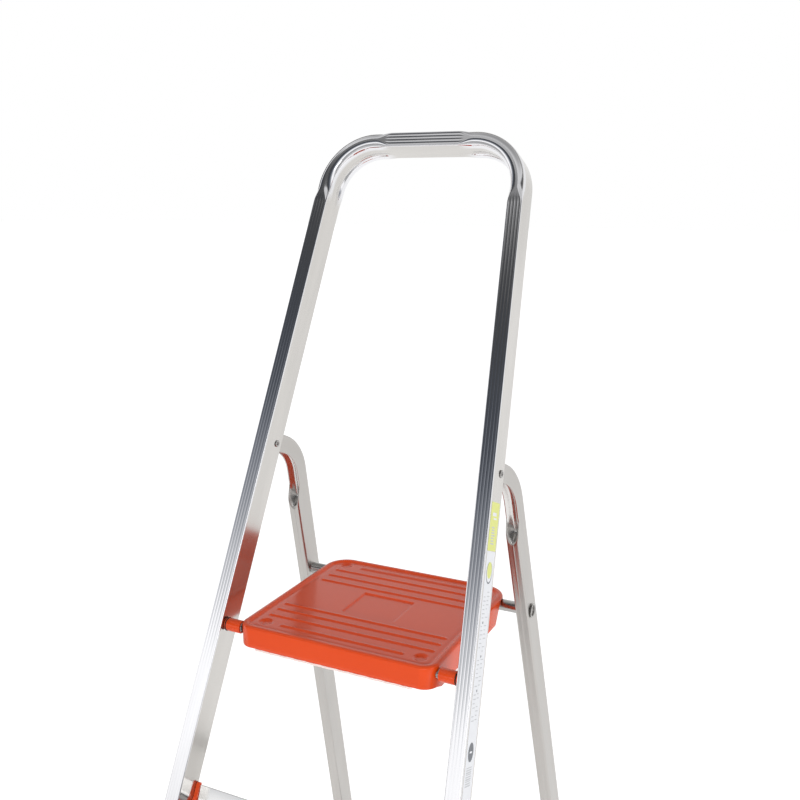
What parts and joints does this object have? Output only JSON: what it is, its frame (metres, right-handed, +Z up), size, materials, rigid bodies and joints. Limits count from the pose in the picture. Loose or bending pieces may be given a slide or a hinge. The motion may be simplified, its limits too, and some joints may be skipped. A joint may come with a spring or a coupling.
{
  "type": "platform step ladder",
  "caption": "Folding step ladder with a hooped channel front frame, ribbed treads, a hinged standing platform and a tubular rear frame.",
  "frame": {"origin": "on the floor, at the centre of the bounding box of the opened ladder", "axes": "+Z up, +Y from the treads towards the rear legs, +X to the right of a user who faces the treads"},
  "size_m": [0.5132, 1.032, 1.7512],
  "materials": {
    "stile_aluminium": "satin extruded, ribbed front web",
    "leg_aluminium": "satin tube, polished at the bends",
    "tread_aluminium": "bright extruded, ribbed",
    "bright_steel": "zinc plated",
    "orange_paint": "gloss paint on pressed steel",
    "orange_plastic": "moulded",
    "black_plastic": "moulded",
    "label_film": "printed film"
  },
  "bodies": {
    "front_frame": {"front_hoop": "stile_aluminium", "tread_1": "tread_aluminium", "tread_2": "tread_aluminium", "tread_3": "tread_aluminium", "tread_4": "tread_aluminium", "tread_cap_left_1": "orange_plastic", "tread_cap_right_1": "orange_plastic", "tread_cap_left_2": "orange_plastic", "tread_cap_right_2": "orange_plastic", "tread_cap_left_3": "orange_plastic", "tread_cap_right_3": "orange_plastic", "tread_cap_left_4": "orange_plastic", "tread_cap_right_4": "orange_plastic", "tread_screw_left_1_a": "bright_steel", "tread_screw_left_1_b": "bright_steel", "tread_screw_right_1_a": "bright_steel", "tread_screw_right_1_b": "bright_steel", "tread_screw_left_2_a": "bright_steel", "tread_screw_left_2_b": "bright_steel", "tread_screw_right_2_a": "bright_steel", "tread_screw_right_2_b": "bright_steel", "tread_screw_left_3_a": "bright_steel", "tread_screw_left_3_b": "bright_steel", "tread_screw_right_3_a": "bright_steel", "tread_screw_right_3_b": "bright_steel", "tread_screw_left_4_a": "bright_steel", "tread_screw_left_4_b": "bright_steel", "tread_screw_right_4_a": "bright_steel", "tread_screw_right_4_b": "bright_steel", "front_foot_left": "orange_plastic", "front_foot_right": "orange_plastic", "rod_sleeve_left": "orange_plastic", "rod_sleeve_right": "orange_plastic", "rod_washer_left": "bright_steel", "rod_washer_right": "bright_steel", "rod_ring_left": "black_plastic", "rod_ring_right": "black_plastic", "rod_nut_left": "bright_steel", "rod_nut_right": "bright_steel", "pivot_rivet_left": "bright_steel", "pivot_rivet_right": "bright_steel", "front_rod": "bright_steel"},
    "rear_frame": {"rear_leg_left": "leg_aluminium", "rear_leg_right": "leg_aluminium", "rear_rod": "bright_steel", "rear_brace_upper": "bright_steel", "rear_brace_lower": "bright_steel", "rear_foot_left": "orange_plastic", "rear_foot_right": "orange_plastic"},
    "platform": {"platform_tray": "orange_paint"}
  },
  "joints": [
    {"name": "rear_fold", "type": "hinge", "parent": "front_frame", "child": "rear_frame", "pos_m": [0, 0.08524, 1.35163], "axis": [-1, 0, 0], "range_deg": [0, 37.9]},
    {"name": "platform_tilt", "type": "hinge", "parent": "front_frame", "child": "platform", "pos_m": [0, -0.0196, 1.1382], "axis": [1, 0, 0], "range_deg": [0, 67.13]}
  ],
  "couplings": [
    {"joint": "platform_tilt", "follows": "rear_fold", "ratio": 1.771}
  ]
}
